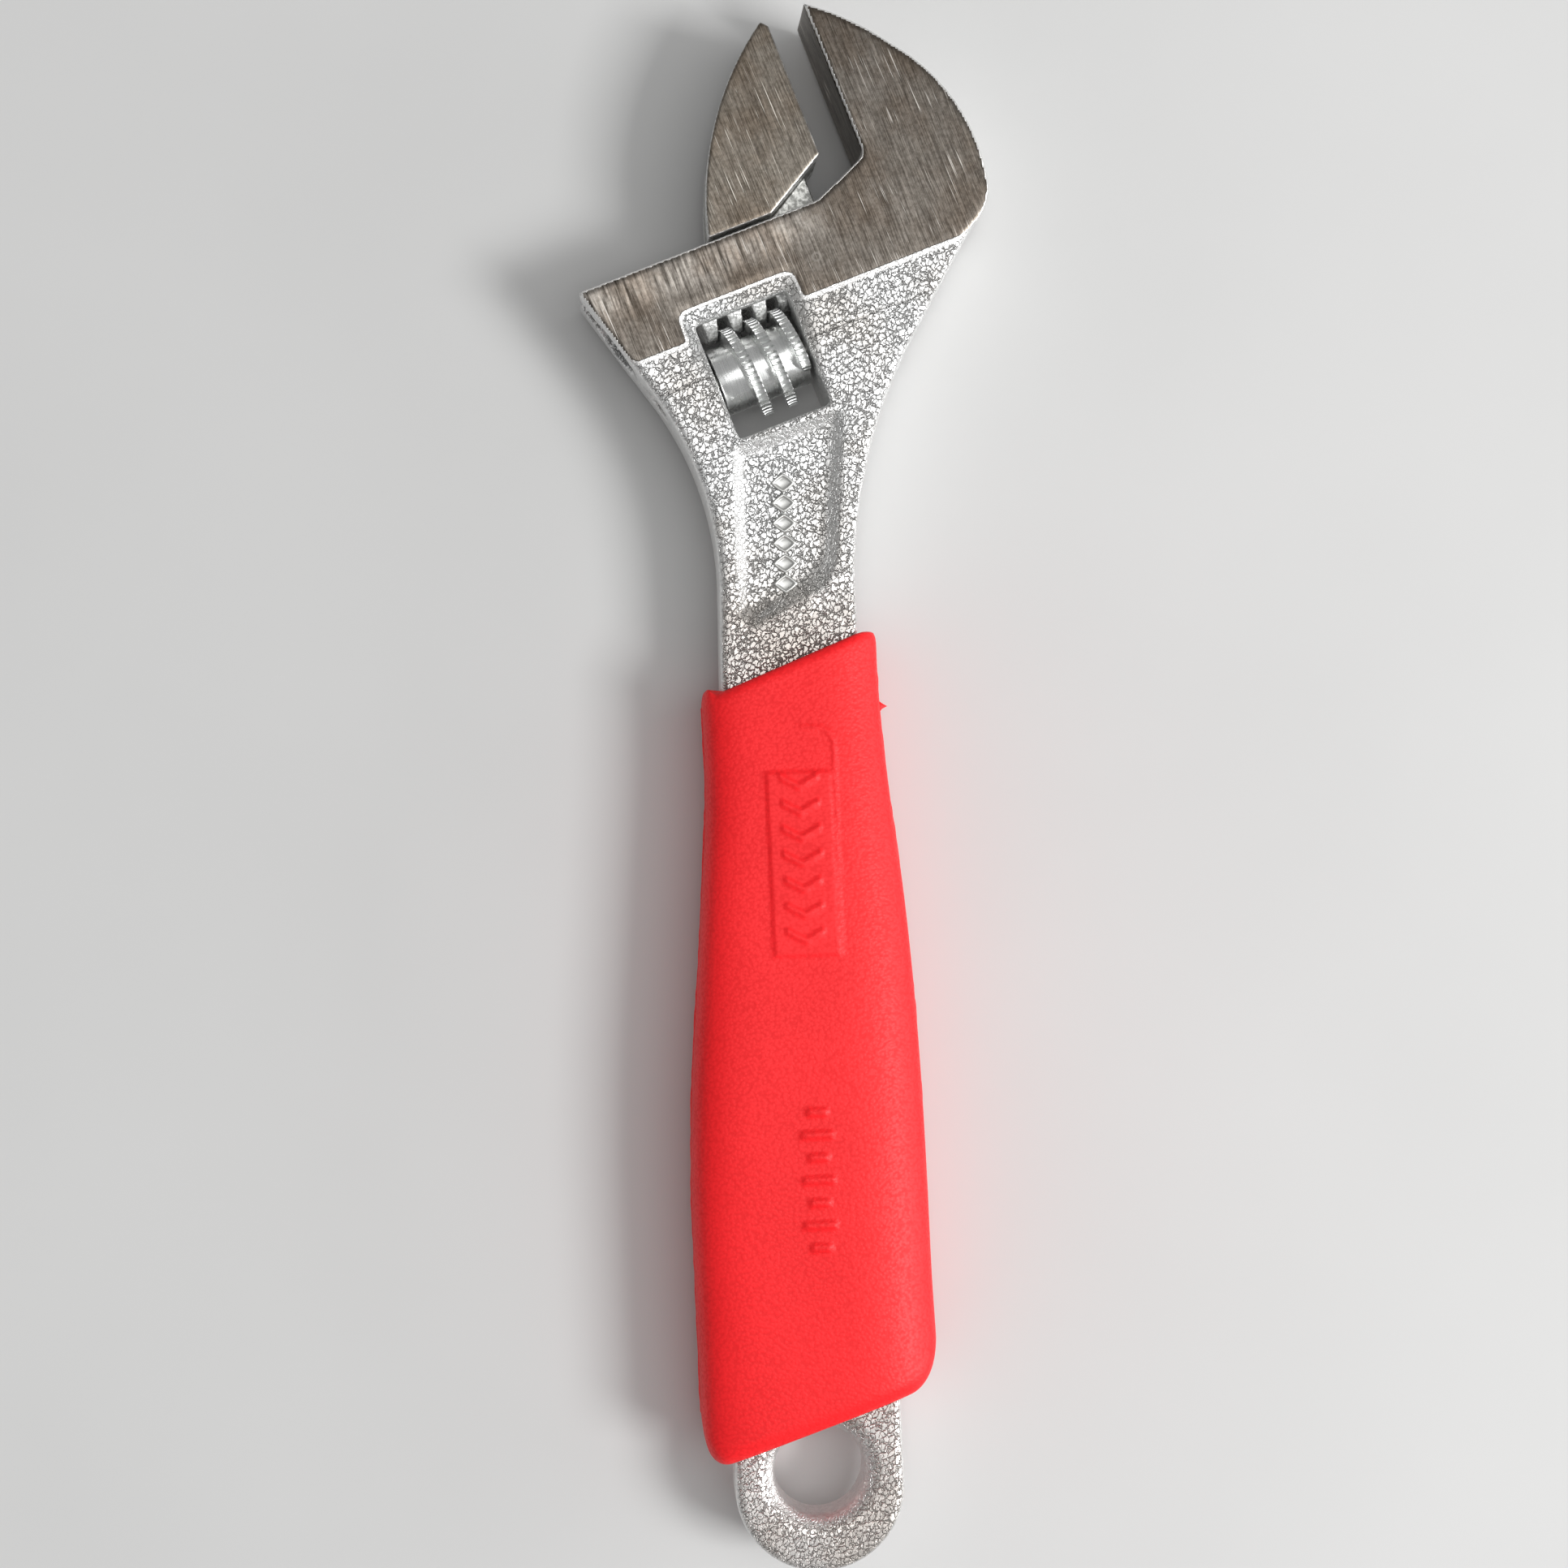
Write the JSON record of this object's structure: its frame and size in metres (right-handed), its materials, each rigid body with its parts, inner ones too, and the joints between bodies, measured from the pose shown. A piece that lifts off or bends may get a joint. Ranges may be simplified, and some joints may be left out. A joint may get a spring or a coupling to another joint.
{
  "type": "adjustable wrench",
  "caption": "Adjustable wrench with a sliding toothed jaw driven by a knurled worm, a pinned worm and spring, and a slip-on grip sleeve over a forged handle with a hanging ring.",
  "frame": {"origin": "on the axis of the hanging hole, at the middle of the thickness", "axes": "+Y along the handle towards the head, +Z out of the face, +X towards the fixed jaw's side"},
  "size_m": [0.0535, 0.2031, 0.0156],
  "materials": {
    "plated_forging": "shot-blasted forging with bright zinc or nickel plating; the head's faces ground and brushed",
    "ground_steel": "ground steel with fine scratches along the jaw faces",
    "plated_worm": "zinc-plated turned steel with a serrated thread crest",
    "pin_steel": "plain turned steel",
    "spring_steel": "drawn spring wire",
    "red_sleeve": "soft red PVC with a fine leather grain and a satin sheen"
  },
  "bodies": {
    "root": {"wrench_body": "plated_forging", "worm_pin": "pin_steel", "worm_spring": "spring_steel", "grip_sleeve": "red_sleeve"},
    "jaw": {"movable_jaw": "ground_steel"},
    "worm": {"adjusting_worm": "plated_worm"}
  },
  "joints": [
    {"name": "jaw_slide", "type": "slide", "parent": "root", "child": "jaw", "axis": [0.9397, 0.342, 0], "range_m": [-0.0187, 0.0052]},
    {"name": "worm_spin", "type": "hinge", "parent": "root", "child": "worm", "pos_m": [-0.00294, 0.14403, 0], "axis": [0.9397, 0.342, 0], "range_deg": [-546.77, 1963.68]}
  ],
  "couplings": [
    {"joint": "worm_spin", "follows": "jaw_slide", "rad_per_m": -1831.8}
  ]
}
